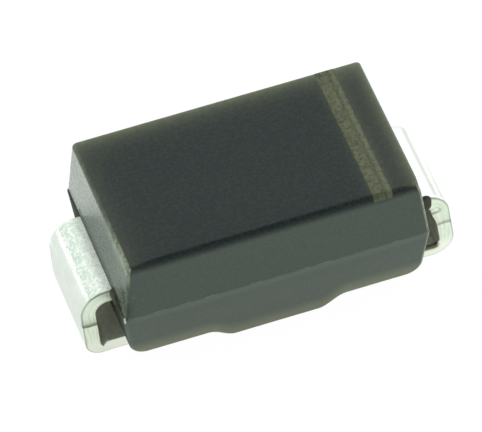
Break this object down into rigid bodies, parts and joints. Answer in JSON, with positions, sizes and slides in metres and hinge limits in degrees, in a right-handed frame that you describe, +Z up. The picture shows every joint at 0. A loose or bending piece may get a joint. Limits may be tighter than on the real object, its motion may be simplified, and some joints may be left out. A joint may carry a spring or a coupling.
{
  "type": "surge protection thyristor",
  "caption": "Surface-mount surge protection thyristor: drafted dark resin body with a polarity band, formed tin-plated end leads folded under as solder feet, and a soldered chip inside.",
  "frame": {"origin": "on the board surface under the middle of the body", "axes": "+X along the body towards the banded cathode end, +Y across the body, +Z up from the board through the body's top face"},
  "size_m": [0.0053, 0.0024, 0.0022],
  "materials": {
    "moulding_resin": "fine eroded texture, dark grey-green filled epoxy",
    "marked_resin": "laser-bleached resin, olive, matt",
    "tin_plate": "matt tin plate on copper alloy strip",
    "silicon": "lapped silicon",
    "solder": "dull solder"
  },
  "bodies": {
    "root": {"moulded_body": "moulding_resin", "polarity_band": "marked_resin", "anode_lead": "tin_plate", "cathode_lead": "tin_plate", "thyristor_chip": "silicon", "anode_solder": "solder", "cathode_solder": "solder"}
  },
  "joints": []
}
